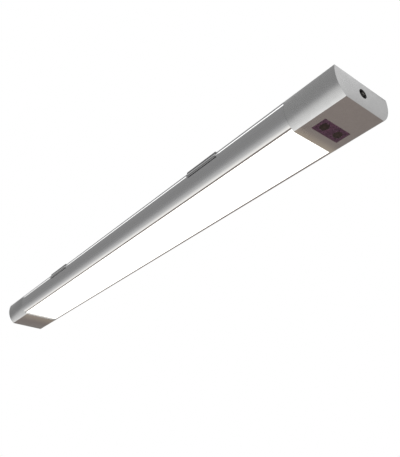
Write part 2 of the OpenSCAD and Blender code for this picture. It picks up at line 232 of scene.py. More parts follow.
def shades(colour: Sequence[float], change: float) -> list[tuple[float, tuple[float, ...]]]:
    """Gives a darker and a lighter shade of one colour.

    Args:
        colour: The middle colour.
        change: How far the shades lie from it, as a share.

    Returns:
        Two stops for a ramp.
    """
    dark = tuple(c * (1 - change) for c in colour)
    light = tuple(min(c * (1 + change), 1.0) for c in colour)
    return list(zip(NOISE_MIDDLE, (dark, light)))


@dataclass(frozen=True)
class Spill:
    """A warm glow painted as emission on the surfaces beside the diffuser, standing in for its light.

    Attributes:
        axis: Axis along which it fades, X or Z.
        start: Where it is brightest, in metres.
        end: Where it has faded out, in metres.
        strength: Its brightness at the start.
        hidden, shown: Upward share of the normal on surfaces without it, and with all of it.
        colour: Its colour.
    """

    axis: str
    start: float
    end: float
    strength: float
    hidden: float
    shown: float
    colour: tuple[float, float, float] = (1.0, 0.83, 0.54)

    def add(self, graph: Graph) -> None:
        """Adds the painted glow to a material, as emission."""
        split = graph.nodes.new("ShaderNodeSeparateXYZ")
        graph.join(graph.place((1.0, 1.0, 1.0)), split.inputs["Vector"])
        surface = graph.nodes.new("ShaderNodeNewGeometry")
        normal = graph.nodes.new("ShaderNodeSeparateXYZ")
        graph.join(surface.outputs["Normal"], normal.inputs["Vector"])
        fade = graph.remap(split.outputs[self.axis], (self.end, self.start), (0.0, self.strength), soft=True)
        mask = graph.remap(normal.outputs["Z"], (self.hidden, self.shown), (0.0, 1.0), soft=True)
        both = graph.nodes.new("ShaderNodeMath")
        both.operation = "MULTIPLY"
        graph.join(fade, both.inputs[0])
        graph.join(mask, both.inputs[1])
        graph.set(Emission_Color=(*self.colour, 1.0))
        graph.join(both.outputs["Value"], graph.shader.inputs["Emission Strength"])


@dataclass(frozen=True)
class MetalFinish:
    """Metal, or paint that looks like it, with fine lines or grain.

    Attributes:
        name: The material's name.
        colour: Colour of its reflections.
        roughness: Lowest and highest roughness.
        grain: Repeats of the grain per metre along X, Y and Z.
        relief: Height of the grain, in metres.
        metallic: Share of metal, lower for paint with metal flakes.
        change: How far the colour varies, as a share.
        glow: Share of light painted on the finish as emission, though it is no lamp.
        spill: Light from the diffuser on it, or None.
        cloud: How many times wider than the grain the patches of colour are.
    """

    name: str
    colour: tuple[float, float, float]
    roughness: tuple[float, float]
    grain: tuple[float, float, float]
    relief: float
    metallic: float = 1.0
    change: float = 0.03
    glow: float = 0.0
    spill: Spill | None = None
    cloud: float = 12.0

    def material(self) -> bpy.types.Material:
        """Builds the material."""
        graph = Graph(self.name)
        grain = graph.noise(self.grain, detail=4.0)
        cloud = graph.noise(tuple(g / self.cloud for g in self.grain))
        # painted light: the glow share goes out as white emission
        graph.set(Metallic=self.metallic, Emission_Color=(1.0, 1.0, 1.0, 1.0), Emission_Strength=self.glow)
        if self.spill:
            self.spill.add(graph)
        graph.join(graph.tint(cloud, shades(self.colour, self.change)), graph.shader.inputs["Base Color"])
        graph.join(graph.spread(grain, *self.roughness), graph.shader.inputs["Roughness"])
        graph.bump(grain, self.relief)
        return graph.material


@dataclass(frozen=True)
class PlasticFinish:
    """Moulded plastic, rubber, epoxy or ceramic.

    Attributes:
        name: The material's name.
        colour: Its colour.
        roughness: Lowest and highest roughness.
        grain: Repeats of the grain per metre.
        relief: Height of the grain, in metres.
        coat, coat_roughness: Weight and roughness of a clear coat.
        change: How far the colour varies, as a share.
        cloud: How many times wider than the grain the patches of colour are.
    """

    name: str
    colour: tuple[float, float, float]
    roughness: tuple[float, float]
    grain: float
    relief: float
    coat: float = 0.0
    change: float = 0.08
    coat_roughness: float = 0.08
    cloud: float = 15.0

    def material(self) -> bpy.types.Material:
        """Builds the material."""
        graph = Graph(self.name)
        grain = graph.noise((self.grain,) * 3)
        cloud = graph.noise((self.grain / self.cloud,) * 3)
        graph.set(Coat_Weight=self.coat, Coat_Roughness=self.coat_roughness)
        graph.join(graph.tint(cloud, shades(self.colour, self.change)), graph.shader.inputs["Base Color"])
        graph.join(graph.spread(grain, *self.roughness), graph.shader.inputs["Roughness"])
        graph.bump(grain, self.relief)
        return graph.material


@dataclass(frozen=True)
class BoardFinish:
    """A circuit board's lacquer over copper tracks.

    Attributes:
        name: The material's name.
        lacquer: Colour between the tracks.
        track: Colour over the tracks.
        pitch: Tracks per metre along X and Y.
        depth_pitch: The same along Z.
        border: Where the lacquer ends and where the track begins, as shares of a cell.
        weave: Repeats of the glass weave per metre.
        roughness: Lowest and highest roughness.
        relief, relief_shows: Height of the tracks in metres, and the share of it that shows.
    """

    name: str
    lacquer: tuple[float, float, float]
    track: tuple[float, float, float]
    pitch: tuple[float, float]
    depth_pitch: float = 300.0
    border: tuple[float, float] = (0.42, 0.47)
    weave: float = 2500.0
    roughness: tuple[float, float] = (0.28, 0.42)
    relief: float = 2e-5
    relief_shows: float = 0.3

    def material(self) -> bpy.types.Material:
        """Builds the material."""
        graph = Graph(self.name)
        cells = graph.nodes.new("ShaderNodeTexVoronoi")
        cells.distance = "CHEBYCHEV"
        cells.inputs["Scale"].default_value = 1.0
        graph.join(graph.place((*self.pitch, self.depth_pitch)), cells.inputs["Vector"])
        tracks = graph.tint(cells.outputs["Distance"], zip(self.border, (self.lacquer, self.track)))
        graph.join(tracks, graph.shader.inputs["Base Color"])
        weave = graph.noise((self.weave,) * 3)
        graph.join(graph.spread(weave, *self.roughness), graph.shader.inputs["Roughness"])
        graph.bump(cells.outputs["Distance"], self.relief, self.relief_shows)
        return graph.material


@dataclass(frozen=True)
class OpalFinish:
    """Frosted diffuser plastic, lit from behind.

    Attributes:
        name: The material's name.
        colour: Colour of the unlit plastic.
        light: Colour of the light that comes through.
        strength: Brightness of that light.
        cloud, change: Repeats of its soft patches per metre, and how far they vary, as a share.
        frost, relief: Repeats of the frosting per metre, and its height in metres.
        roughness: Lowest and highest roughness.
    """

    name: str = "Opal_Plastic_Lit"
    colour: tuple[float, float, float] = (0.9, 0.89, 0.86)
    light: tuple[float, float, float] = (1.0, 0.97, 0.93)
    strength: float = 0.9
    cloud: tuple[float, float, float] = (60.0, 90.0, 90.0)
    change: float = 0.02
    frost: float = 4000.0
    relief: float = 4e-6
    roughness: tuple[float, float] = (0.42, 0.55)

    def material(self) -> bpy.types.Material:
        """Builds the material."""
        graph = Graph(self.name)
        frost = graph.noise((self.frost,) * 3)
        cloud = graph.noise(self.cloud)
        light = graph.tint(cloud, shades(self.light, self.change))
        graph.set(Emission_Strength=self.strength, Base_Color=(*self.colour, 1.0))
        graph.join(light, graph.shader.inputs["Emission Color"])
        graph.join(graph.spread(frost, *self.roughness), graph.shader.inputs["Roughness"])
        graph.bump(frost, self.relief)
        return graph.material


@dataclass(frozen=True)
class TintedFinish:
    """Dark plastic that lets a little coloured light through.

    Attributes:
        name: The material's name.
        body: Colour that the plastic itself scatters.
        glass: Colour of what shows through it.
        clear: Share of the surface that is see-through.
        roughness: Lowest and highest roughness of its polish.
        disc: Colour of the two discs in front of the eyes.
        disc_x, disc_y, disc_r: The discs' place along the bar, their distance from the middle
            plane and their radius, in metres.
        core, highlight_gain: Where the painted highlight in the discs' middle ends, as a share of their
            diameter, and
        how many times lighter it is.
        rim: Where the discs end and where the plain window begins, as shares of their diameter.
        polish: Repeats of the polish per metre.
    """

    name: str
    body: tuple[float, float, float]
    glass: tuple[float, float, float]
    clear: float
    roughness: tuple[float, float]
    disc: tuple[float, float, float]
    disc_x: float = 0.0
    disc_y: float = 0.0
    disc_r: float = 0.0
    highlight_reach: float = 0.2
    highlight_gain: float = 1.8
    rim: tuple[float, float] = (0.46, 0.54)
    polish: float = 3000.0

    def distance(self, graph: Graph) -> bpy.types.NodeSocket:
        """Gives the distance from the nearer disc's middle, as a share of twice its radius."""
        flat = graph.nodes.new("ShaderNodeVectorMath")
        flat.operation = "ABSOLUTE"
        mirror = graph.nodes.new("ShaderNodeVectorMath")
        mirror.operation = "MULTIPLY_ADD"
        mirror.inputs[1].default_value = (1.0, 1.0, 0.0)
        mirror.inputs[2].default_value = (-self.disc_x, 0.0, 0.0)
        graph.join(graph.place((1.0, 1.0, 1.0)), mirror.inputs[0])
        graph.join(mirror.outputs["Vector"], flat.inputs[0])
        away = graph.nodes.new("ShaderNodeVectorMath")
        away.operation = "DISTANCE"
        away.inputs[1].default_value = (0.0, self.disc_y, 0.0)
        graph.join(flat.outputs["Vector"], away.inputs[0])
        return graph.remap(away.outputs["Value"], (0.0, 2 * self.disc_r), (0.0, 1.0))

    def material(self) -> bpy.types.Material:
        """Builds the material."""
        graph = Graph(self.name)
        polish = graph.noise((self.polish,) * 3)
        away = self.distance(graph)
        # painted highlight: the discs' lighter middle
        middle = tuple(self.highlight_gain * c for c in self.disc)
        stops = [(0.0, middle), (self.highlight_reach, self.disc), (self.rim[0], self.disc), (self.rim[1], self.body)]
        graph.join(graph.tint(away, stops), graph.shader.inputs["Base Color"])
        graph.join(graph.spread(polish, *self.roughness), graph.shader.inputs["Roughness"])
        through = graph.nodes.new("ShaderNodeBsdfTransparent")
        through.inputs["Color"].default_value = (*self.glass, 1.0)
        mix = graph.nodes.new("ShaderNodeMixShader")
        graph.join(graph.remap(away, self.rim, (0.0, self.clear)), mix.inputs["Fac"])
        graph.join(graph.shader.outputs["BSDF"], mix.inputs[1])
        graph.join(through.outputs["BSDF"], mix.inputs[2])
        graph.join(mix.outputs["Shader"], graph.output.inputs["Surface"])
        return graph.material


Finish = MetalFinish | PlasticFinish | BoardFinish | OpalFinish | TintedFinish

LENGTHWISE = (14.0, 5200.0, 5200.0)
ROLLED = (900.0, 9000.0, 9000.0)

ANODISED = MetalFinish(
    "Satin_Anodised_Aluminium", (0.70, 0.70, 0.705), (0.22, 0.32), LENGTHWISE, 2.5e-6,
    # Painted light: a warm glow painted on the sides just above the lips, standing in for the diffuser's
    # light.
    spill=Spill("Z", -0.0168, -0.0148, 0.30, hidden=-0.9, shown=-0.75, colour=(1.0, 0.95, 0.86)),
)
# Painted highlight: the groove's slope under each flange is whiter metal that also glows, standing in for the
# light it catches.
GROOVE_PAINTED_HIGHLIGHT = MetalFinish(
    "Groove_Painted_Highlight", (0.96, 0.96, 0.96), (0.12, 0.20), LENGTHWISE, 1e-6, glow=0.40
)
# Painted shade: darker aluminium on the strip of the groove's slope beside the flange.
FLANGE_PAINTED_SHADE = MetalFinish("Flange_Edge_Painted_Shade", (0.36, 0.36, 0.365), (0.22, 0.32), LENGTHWISE, 1e-6)
SILVER_PAINT = MetalFinish("Silver_Painted_Plastic", (0.70, 0.70, 0.70), (0.22, 0.32), (3800.0,) * 3, 2.5e-6)
SPRING_STEEL = MetalFinish("Dark_Spring_Steel", (0.36, 0.36, 0.365), (0.16, 0.26), ROLLED, 2e-6)
# Painted highlight: lighter steel on the slant of each clip's hook, standing in for the light that the bend
# catches.
CLIP_HOOK_PAINTED_HIGHLIGHT = MetalFinish("Clip_Hook_Painted_Highlight", (0.62, 0.62, 0.62), (0.16, 0.26), ROLLED, 2e-6)
SCREW_PLATE = MetalFinish("Plated_Screw_Steel", (0.58, 0.58, 0.57), (0.22, 0.36), (5000.0,) * 3, 2e-6)
NICKEL = MetalFinish("Nickel_Plate", (0.50, 0.49, 0.45), (0.14, 0.26), (2500.0,) * 3, 1e-6)
BLACK_PLASTIC = PlasticFinish("Black_Moulded_Plastic", (0.12, 0.12, 0.12), (0.38, 0.52), 3200.0, 6e-6)
HOLDER_PLASTIC = PlasticFinish("Holder_Plastic", (0.50, 0.46, 0.48), (0.45, 0.60), 3200.0, 6e-6)
CHIP_BODY = PlasticFinish("Component_Body", (0.025, 0.025, 0.027), (0.45, 0.60), 6000.0, 4e-6)
TANTALUM = PlasticFinish("Capacitor_Body", (0.62, 0.36, 0.05), (0.40, 0.55), 5000.0, 4e-6)
CLEAR_EPOXY = PlasticFinish("Blue_Tinted_Epoxy", (0.03, 0.03, 0.05), (0.06, 0.12), 1500.0, 1e-6, 0.6)
DARK_EPOXY = PlasticFinish("Dark_Epoxy", (0.012, 0.012, 0.016), (0.06, 0.12), 1500.0, 1e-6, 0.6)
LED_CERAMIC = PlasticFinish("LED_Package", (0.85, 0.72, 0.34), (0.25, 0.40), 2500.0, 2e-6, 0.4)
RED_INSULATION = PlasticFinish("Red_Insulation", (0.45, 0.02, 0.015), (0.30, 0.42), 2500.0, 3e-6)
BLACK_INSULATION = PlasticFinish("Black_Insulation", (0.02, 0.02, 0.02), (0.30, 0.42), 2500.0, 3e-6)
GREEN_BOARD = BoardFinish("Green_Circuit_Board", (0.012, 0.10, 0.035), (0.03, 0.22, 0.07), (520.0, 640.0))
WHITE_BOARD = BoardFinish("White_Circuit_Board", (0.80, 0.80, 0.78), (0.72, 0.72, 0.70), (110.0, 420.0))
OPAL = OpalFinish()
WINDOW_TINT = TintedFinish(
    "Infrared_Window", (0.115, 0.055, 0.090), (0.74, 0.52, 0.62), 0.45, (0.10, 0.16), (0.018, 0.010, 0.008)
)

EXTRUSION_FINISHES = (ANODISED, GROOVE_PAINTED_HIGHLIGHT, FLANGE_PAINTED_SHADE)
CLIP_FINISHES = (SPRING_STEEL, CLIP_HOOK_PAINTED_HIGHLIGHT)
NODE_FINISHES: dict[str, Finish] = {
    "led_board": WHITE_BOARD,
    "leds": LED_CERAMIC,
    "led_resistors": CHIP_BODY,
    "sensor_lid_screws": SCREW_PLATE,
    "sensor_housing_screws": SCREW_PLATE,
    "far_lid_screws": SCREW_PLATE,
    "far_housing_screws": SCREW_PLATE,
    "eye_holder": HOLDER_PLASTIC,
    "ir_emitter": CLEAR_EPOXY,
    "ir_receiver": DARK_EPOXY,
    "sensor_board": GREEN_BOARD,
    "sensor_board_screws": SCREW_PLATE,
    "control_chip": CHIP_BODY,
    "dimmer_transistor": CHIP_BODY,
    "buffer_capacitor": TANTALUM,
    "board_resistors": CHIP_BODY,
    "dc_jack": BLACK_PLASTIC,
    "jack_pin": NICKEL,
    "jack_spring": NICKEL,
    "positive_wire": RED_INSULATION,
    "negative_wire": BLACK_INSULATION,
}


class Paintbox:
    """Makes each finish's material once."""

    def __init__(self) -> None:
        """Starts with no materials."""
        self.made: dict[str, bpy.types.Material] = {}

    def get(self, finish: Finish) -> bpy.types.Material:
        """Gives a finish's material."""
        if finish.name not in self.made:
            self.made[finish.name] = finish.material()
        return self.made[finish.name]

    def dress_nodes(self, nodes: dict[str, bpy.types.Object]) -> None:
        """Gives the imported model's own pieces their finishes.

        Args:
            nodes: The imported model's objects by name.
        """
        for name, finish in NODE_FINISHES.items():
            for slot in nodes[name].material_slots:
                slot.material = self.get(finish)
            LOG.info("dressed %s in %s", name, finish.name)


# ---------------------------------------------------------------- shapes


@dataclass
class Ring:
    """One loop of an opening's wall.

    Attributes:
        centre: Its middle.
        facing: The way that the surface with this loop faces.
        edges: Its edges.
    """

    centre: Vector
    facing: Facing
    edges: list[BMEdge]


class Form:
    """A closed solid in millimetres, shaped with mesh operators."""

    def __init__(self) -> None:
        """Starts with nothing."""
        self.bm = bmesh.new()

    def vert(self, x: float, y: float, z: float) -> BMVert:
        """Adds one vertex."""
        return self.bm.verts.new((x, y, z))

    def block(self, low: Sequence[float], high: Sequence[float]) -> None:
        """Adds a box.

        Args:
            low: Its lowest corner.
            high: Its highest corner.
        """
        made = bmesh.ops.create_cube(self.bm, size=1.0)["verts"]
        size = [b - a for a, b in zip(low, high)]
        bmesh.ops.scale(self.bm, vec=size, verts=made)
        bmesh.ops.translate(self.bm, vec=(Vector(low) + Vector(high)) / 2, verts=made)

    def post(self, x: float, y: float, radius: float, low: float, high: float) -> None:
        """Adds an upright cylinder between two heights."""
        made = bmesh.ops.create_cone(
            self.bm, cap_ends=True, segments=32, radius1=radius, radius2=radius, depth=high - low
        )["verts"]
        bmesh.ops.translate(self.bm, vec=(x, y, (low + high) / 2), verts=made)

    def shift(self, made: Iterable[BMVert | BMEdge | BMFace], way: Sequence[float]) -> None:
        """Moves the vertices that an operator made."""
        bmesh.ops.translate(self.bm, vec=way, verts=[v for v in made if isinstance(v, BMVert)])

    def extrude(self, face: BMFace, length: float) -> None:
        """Draws a lone section out along the bar.

        Args:
            face: The section.
            length: How far it is drawn, along +X.
        """
        made = bmesh.ops.extrude_face_region(self.bm, geom=[face])["geom"]
        self.shift(made, (length, 0, 0))
        self.turn_out()

    def soften(
        self, geom: Iterable[BMEdge | BMVert], radius: float, segments: int = 3,
        rounded: Rounded = Rounded.EDGES,
    ) -> None:
        """Rounds edges or corners over.

        Args:
            geom: The edges, or the corners' vertices.
            radius: Width of the rounding.
            segments: Strips in it.
            rounded: Which of the two they are.
        """
        bmesh.ops.bevel(
            self.bm, geom=list(geom), offset=radius, segments=segments, profile=0.5,
            affect=rounded.value, material=-1, clamp_overlap=True,
        )

    def sharp_edges(self, angle: float = math.radians(25)) -> list[BMEdge]:
        """Gives the edges whose faces meet at more than an angle."""
        return [e for e in self.bm.edges if e.is_manifold and e.calc_face_angle(0.0) > angle]

    def ring(
        self, centre: Sequence[float], facing: Facing, size: tuple[float, float], segments: int = 40
    ) -> Ring:
        """Adds a loop for an opening: round, or a rectangle.

        Args:
            centre: Its middle.
            facing: The way that the cut surface faces.
            size: Its width along X (or along Y on an end) and its width along the other axis.
            segments: Edges in it, or RECTANGLE.

        Returns:
            The loop.
        """
        corners = segments == RECTANGLE
        turn = Matrix.Rotation(math.pi / segments, 4, "Z") if corners else Matrix.Identity(4)
        made = bmesh.ops.create_circle(
            self.bm, cap_ends=False, radius=math.sqrt(0.5) if corners else 0.5, segments=segments, matrix=turn
        )["verts"]
        bmesh.ops.scale(self.bm, vec=(*size, 1.0), verts=made)
        if facing in (Facing.OUT, Facing.IN):
            stand = Matrix(((0, 0, 1), (1, 0, 0), (0, 1, 0))).to_4x4()
            bmesh.ops.transform(self.bm, matrix=stand, verts=made)
        bmesh.ops.translate(self.bm, vec=centre, verts=made)
        edges = {e for v in made for e in v.link_edges}
        return Ring(Vector(centre), facing, list(edges))

    def screw_hole(self, x: float, y: float, screw: float, clearance: float, wall: float) -> list[Ring]:
        """Adds the loops of a countersunk hole through a wall at the top.

        Args:
            x, y: Its place.
            screw: The screw's diameter.
            clearance: What the radius of its head and of its shank gets on top.
            wall: Thickness of the wall.

        Returns:
            The loops, from the top down.
        """
        head, shank = HEAD_RADIUS * screw + clearance, screw / 2 + clearance
        steps = ((0.0, head, Facing.UP), (HEAD_DEPTH * screw, shank, Facing.UP), (wall, shank, Facing.DOWN))
        return [self.ring((x, y, -d), way, (2 * r, 2 * r)) for d, r, way in steps]

    def face_with(self, ring: Ring) -> BMFace:
        """Finds the flat face that a loop lies in."""
        way = ring.facing.vector
        for face in self.bm.faces:
            height = (ring.centre - face.verts[0].co).dot(way)
            if abs(height) < FLAT_TOLERANCE and abs(face.normal.dot(way)) > SAME_WAY:
                if bmesh.geometry.intersect_face_point(face, ring.centre):
                    return face
        raise ValueError(f"no flat face holds the opening at {tuple(ring.centre)}")

    def pierce(self, face: BMFace, rings: Sequence[Ring], way: Sequence[float]) -> None:
        """Fills a flat face anew and leaves loops open in it.

        Args:
            face: The face.
            rings: The loops.
            way: The way that the new faces look.
        """
        edges = list(face.edges) + [e for ring in rings for e in ring.edges]
        bmesh.ops.delete(self.bm, geom=[face], context="FACES_ONLY")
        bmesh.ops.triangle_fill(self.bm, edges=edges, use_beauty=True, use_dissolve=False, normal=way)

    def cut(self, openings: Sequence[Sequence[Ring]]) -> None:
        """Cuts openings from one flat face to another.

        Args:
            openings: The loops of each opening, from its first face to its last.
        """
        self.bm.normal_update()
        faces: dict[BMFace, list[Ring]] = {}
        for rings in openings:
            for ring in (rings[0], rings[-1]):
                faces.setdefault(self.face_with(ring), []).append(ring)
        for face, rings in faces.items():
            self.pierce(face, rings, face.normal.copy())
        for rings in openings:
            for first, second in zip(rings, rings[1:]):
                bmesh.ops.bridge_loops(self.bm, edges=first.edges + second.edges)

    def turn_out(self) -> None:
        """Makes every face look outwards."""
        bmesh.ops.recalc_face_normals(self.bm, faces=self.bm.faces)

    def finish(
        self, name: str, material: bpy.types.Material, place: Matrix, body: Body, slot: str,
        replaces: Sequence[str], crease: float = math.radians(28),
    ) -> bpy.types.Object:
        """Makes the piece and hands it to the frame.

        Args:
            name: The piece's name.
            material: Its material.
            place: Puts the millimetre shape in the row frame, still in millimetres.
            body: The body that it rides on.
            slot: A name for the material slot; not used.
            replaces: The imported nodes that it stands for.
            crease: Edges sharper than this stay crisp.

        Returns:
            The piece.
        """
        bmesh.ops.transform(self.bm, matrix=Matrix.Scale(MM, 4) @ place, verts=self.bm.verts)
        self.turn_out()
        for face in self.bm.faces:
            face.smooth = True
        for edge in self.bm.edges:
            edge.smooth = edge.is_manifold and edge.calc_face_angle(0.0) < crease
        mesh = bpy.data.meshes.new(name)
        self.bm.to_mesh(mesh)
        open_edges = sum(not e.is_manifold for e in self.bm.edges)
        self.bm.free()
        piece = bpy.data.objects.new(name, mesh)
        bpy.context.scene.collection.objects.link(piece)
        mesh.materials.append(material)
        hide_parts(*replaces)
        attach(piece, body.value)
        LOG.info("%s: %d faces, %d open edges, on %s", name, len(mesh.polygons), open_edges, body.value)
        return piece


class Outline:
    """Half of a section across the bar, drawn from the middle plane and mirrored."""

    def __init__(self, form: Form, x: float, y: float, depth: float) -> None:
        """Starts the line.

        Args:
            form: The solid that it belongs to.
            x: Its place along the bar.
            y: The first point's distance from the middle plane.
            depth: The first point's depth below the back.
        """
        self.form = form
        self.x = x
        self.first = self.last = form.vert(x, y, -depth)
        self.corners: list[BMVert] = []

    def to(self, y: float, depth: float, corner: bool = True) -> "Outline":
        """Draws a straight line; the point it reaches may be rounded later."""
        point = self.form.vert(self.x, y, -depth)
        self.form.bm.edges.new((self.last, point))
        self.last = point
        if corner:
            self.corners.append(point)
        return self

    def side(self, bar: "BarSection", inset: float, depth: float, steps: int = 20) -> "Outline":
        """Follows the bar's curved side to a depth.

        Args:
            bar: The bar's section.
            inset: How far inside the outer side the line runs.
            depth: Where it ends.
            steps: Edges in it.

        Returns:
            The outline.
        """
        start = bar.side_angle(inset, -self.last.co.z)
        end = bar.side_angle(inset, depth)
        centre = (self.x, bar.side_y, -bar.side_drop)
        made = bmesh.ops.spin(
            self.form.bm, geom=[self.last], cent=centre, axis=(-1.0, 0.0, 0.0), angle=end - start,
            steps=steps, use_merge=False, use_duplicate=False,
        )
        self.last = made["geom_last"][0]
        self.corners.append(self.last)
        return self

    def close(self, radius: float) -> BMFace:
        """Mirrors the half, rounds its corners a little and fills it.

        Args:
            radius: Radius of the corners' rounding, or 0 for none.

        Returns:
            The whole section.
        """
        bm = self.form.bm
        half = self.trace()
        lines = [e for e in bm.edges if e.verts[0] in half and e.verts[1] in half]
        places = [(abs(c.co.y), c.co.z) for c in self.corners]
        bmesh.ops.mirror(bm, geom=half + lines, axis="Y", merge_dist=FLAT_TOLERANCE)
        here = [v for v in bm.verts if abs(v.co.x - self.x) < FLAT_TOLERANCE and not v.link_faces]
        edges = {e for v in here for e in v.link_edges}
        face = bmesh.ops.contextual_create(bm, geom=list(edges))["faces"][0]
        middle = [v for v in face.verts if abs(v.co.y) < FLAT_TOLERANCE]
        bmesh.ops.dissolve_verts(bm, verts=middle)
        if radius:
            bends = [v for v in here if v.is_valid and any(self.is_at(v, *place) for place in places)]
            self.form.soften(bends, radius, rounded=Rounded.CORNERS)
        return next(f for f in bm.faces if all(e.is_boundary for e in f.edges))

    def is_at(self, vert: BMVert, y: float, z: float) -> bool:
        """True for a vertex at a place of the section, on either side."""
        return abs(abs(vert.co.y) - y) < FLAT_TOLERANCE and abs(vert.co.z - z) < FLAT_TOLERANCE

    def trace(self) -> list[BMVert]:
        """Gives the vertices from the first to the last, in order."""
        found = [self.first]
        seen = {self.first}
        while found[-1] != self.last:
            step = next(v for e in found[-1].link_edges for v in e.verts if v not in seen)
            found.append(step)
            seen.add(step)
        return found


# ---------------------------------------------------------------- sub-assemblies


@dataclass
class BarSection:
    """The bar's outline across its length, in millimetres.

    Attributes:
        width: Width at the widest line.
        underside: Width of the flat underside.
        height: Height of the end housings.
        side_drop: Depth of the widest line.
    """

    width: float = 44.8
    underside: float = 31.0
    height: float = 18.1
    side_drop: float = 4.5

    @property
    def side_r(self) -> float:
        """Radius of the curved sides."""
        inward, fall = (self.width - self.underside) / 2, self.height - self.side_drop
        return (inward**2 + fall**2) / (2 * inward)

    @property
    def side_y(self) -> float:
        """Distance of the right side's centre from the middle plane."""
        return self.width / 2 - self.side_r

    def side_angle(self, inset: float, depth: float) -> float:
        """Angle below the widest line at which an inset side is at a depth."""
        return math.asin((depth - self.side_drop) / (self.side_r - inset))

    def half(self, inset: float, depth: float) -> float:
        """Half width at a depth, with the side moved in."""
        return self.side_y + math.sqrt((self.side_r - inset) ** 2 - (depth - self.side_drop) ** 2)

    def depth_at(self, inset: float, half: float) -> float:
        """Depth at which a side that is moved in has come to a half width."""
        return self.side_drop + math.sqrt((self.side_r - inset) ** 2 - (half - self.side_y) ** 2)


@dataclass
class LightBody:
    """The extrusion and the diffuser in it, in millimetres.

    Attributes:
        bar: The bar's outline.
        paints: The finishes.
        wall, web: Thickness of the sides and of the back.
        lip_depth, lip_width, ledge: The lips' depth, flat edge and height.
        channel_width, channel_depth: The screw channel in the back.
        flange, groove, groove_flat, bead: The flange for the clips and the groove under it.
        shade: Width of the strip inside the groove, beside the flange, that gets a painted shade.
        board_width, board_thickness, rail, rail_bite, slip: The LED board's rails and clearance.
        screw_inset, screw_y, screw_d: Places and diameter of the housings' screws.
        snug: The screws' clearance, added to their radius.
        edge: Radius of the long edges.
    """

    bar: BarSection
    paints: Paintbox
    wall: float = 1.2
    web: float = 1.3
    lip_depth: float = 16.2
    lip_width: float = 1.45
    ledge: float = 1.0
    channel_width: float = 10.0
    channel_depth: float = 2.6
    flange: float = 0.8
    groove: float = 1.4
    groove_flat: float = 0.4
    shade: float = 0.32
    bead: float = 1.0
    board_width: float = 24.0
    board_thickness: float = 1.6
    rail: float = 1.1
    rail_bite: float = 1.0
    slip: float = 0.15
    screw_inset: float = 6.0
    screw_y: float = 16.42
    screw_d: float = 2.4
    snug: float = 0.05
    edge: float = 0.12

    def __post_init__(self) -> None:
        """Reads the extrusion's place from the frame."""
        low, high = (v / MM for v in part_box("extrusion"))
        self.start, self.length, self.back = low.x, high.x - low.x, high.z
        self.lip_in = self.bar.half(0, self.lip_depth) - self.lip_width

    def draw_section(self, form: Form) -> BMFace:
        """Draws the extrusion's section, one line without a hole."""
        bar = self.bar
        groove_in = bar.half(0, self.flange) - self.groove
        groove_end = self.flange + self.groove + self.groove_flat
        rail_in = self.board_width / 2 - self.rail_bite
        slot = self.board_width / 2 + self.slip
        led_back = self.channel_depth + self.web
        led_face = led_back + self.board_thickness + self.slip
        line = Outline(form, 0.0, 0.0, self.channel_depth)
        line.to(self.channel_width / 2, self.channel_depth).to(self.channel_width / 2, 0)
        line.to(bar.half(0, 0), 0).side(bar, 0, self.flange, steps=2)
        # This point splits the slope into the painted shade beside the flange and the painted highlight below
        # it.
        line.to(groove_in + self.groove - self.shade, self.flange + self.shade, corner=False)
        line.to(groove_in, self.flange + self.groove).to(groove_in, groove_end)
        line.to(bar.half(0, groove_end), groove_end).side(bar, 0, self.lip_depth, steps=40)
        line.to(self.lip_in, self.lip_depth).to(self.lip_in, self.lip_depth - self.ledge)
        line.to(bar.half(self.wall, self.lip_depth - self.ledge), self.lip_depth - self.ledge)
        line.side(bar, self.wall, groove_end + self.bead, steps=24)
        line.to(groove_in - self.bead, groove_end + self.bead).to(groove_in - self.bead, self.web)
        line.to(slot + self.rail, self.web).to(slot + self.rail, led_face + self.rail)
        line.to(rail_in, led_face + self.rail).to(rail_in, led_face).to(slot, led_face)
        line.to(slot, led_back).to(rail_in, led_back).to(rail_in, self.web)
        line.to(self.channel_width / 2 + self.web, self.web).to(self.channel_width / 2 + self.web, led_back)
        line.to(0, led_back, corner=False)
        return line.close(self.edge)

    def build_extrusion(self) -> None:
        """Builds the extrusion with its countersunk holes."""
        form = Form()
        form.extrude(self.draw_section(form), self.length)
        form.cut([
            form.screw_hole(x, y, self.screw_d, self.snug, self.web)
            for x in (self.screw_inset, self.length - self.screw_inset)
            for y in (-self.screw_y, self.screw_y)
        ])
        self.mark_groove(form)
        place = Matrix.Translation((self.start, 0, self.back))
        piece = form.finish(
            "Extrusion", self.paints.get(ANODISED), place, Body.BAR, "anodised_aluminium", ["extrusion"]
        )
        for finish in EXTRUSION_FINISHES[1:]:
            piece.data.materials.append(self.paints.get(finish))

    def mark_groove(self, form: Form) -> None:
        """Gives the slope under each flange its painted highlight, and the strip beside the flange its
        painted shade.
        """
        bottom = self.flange + self.groove
        for face in form.bm.faces:
            middle, looks_down = face.calc_center_median(), face.normal.z < -0.5
            if self.flange < -middle.z < bottom and looks_down and abs(middle.y) > self.screw_y:
                finish = GROOVE_PAINTED_HIGHLIGHT if -middle.z > self.flange + self.shade else FLANGE_PAINTED_SHADE
                face.material_index = EXTRUSION_FINISHES.index(finish)

    def build_diffuser(self) -> None:
        """Builds the diffuser: its flanges lie on the ledges and its face is level with the lips."""
        form = Form()
        top, step = self.lip_depth - 2 * self.ledge, self.lip_depth - self.ledge
        flange = self.bar.half(self.wall, step) - self.slip
        line = Outline(form, 0.0, 0.0, top).to(flange, top).to(flange, step)
        line.to(self.lip_in - self.slip, step).to(self.lip_in - self.slip, self.lip_depth)
        line.to(0, self.lip_depth, corner=False)
        form.extrude(line.close(self.edge), self.length)
        place = Matrix.Translation((self.start, 0, self.back))
        form.finish("Diffuser", self.paints.get(OPAL), place, Body.BAR, "opal_plastic", ["diffuser"])

    def build(self) -> None:
        """Builds both pieces."""
        self.build_extrusion()
        self.build_diffuser()


